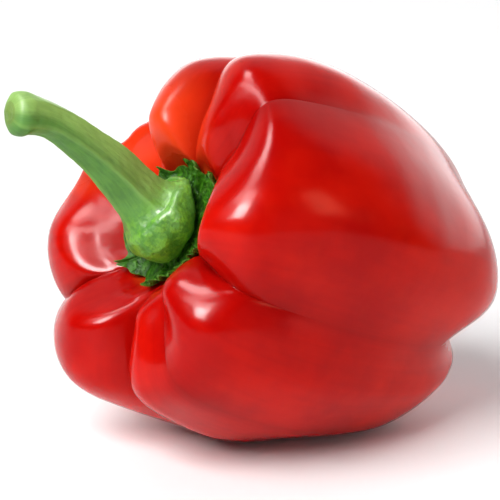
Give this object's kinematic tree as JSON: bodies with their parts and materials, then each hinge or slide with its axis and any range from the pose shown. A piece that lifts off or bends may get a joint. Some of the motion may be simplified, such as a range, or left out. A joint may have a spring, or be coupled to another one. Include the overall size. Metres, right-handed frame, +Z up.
{
  "type": "red bell pepper",
  "caption": "Ripe red bell pepper lying on its side: a glossy lobed pod with a ragged dark green calyx and a curved ribbed stem.",
  "frame": {"origin": "middle of the flattened spot under the fruit that it lies on", "axes": "+Z up; +X toward the blossom end, the length of the pepper; the stem end points toward -X and is raised 23 degrees"},
  "size_m": [0.1117, 0.0854, 0.0845],
  "materials": {
    "red_skin": null,
    "calyx_green": null,
    "stem_green": null
  },
  "bodies": {
    "root": {"fruit": "red_skin", "calyx": "calyx_green", "stem": "stem_green"}
  },
  "joints": []
}
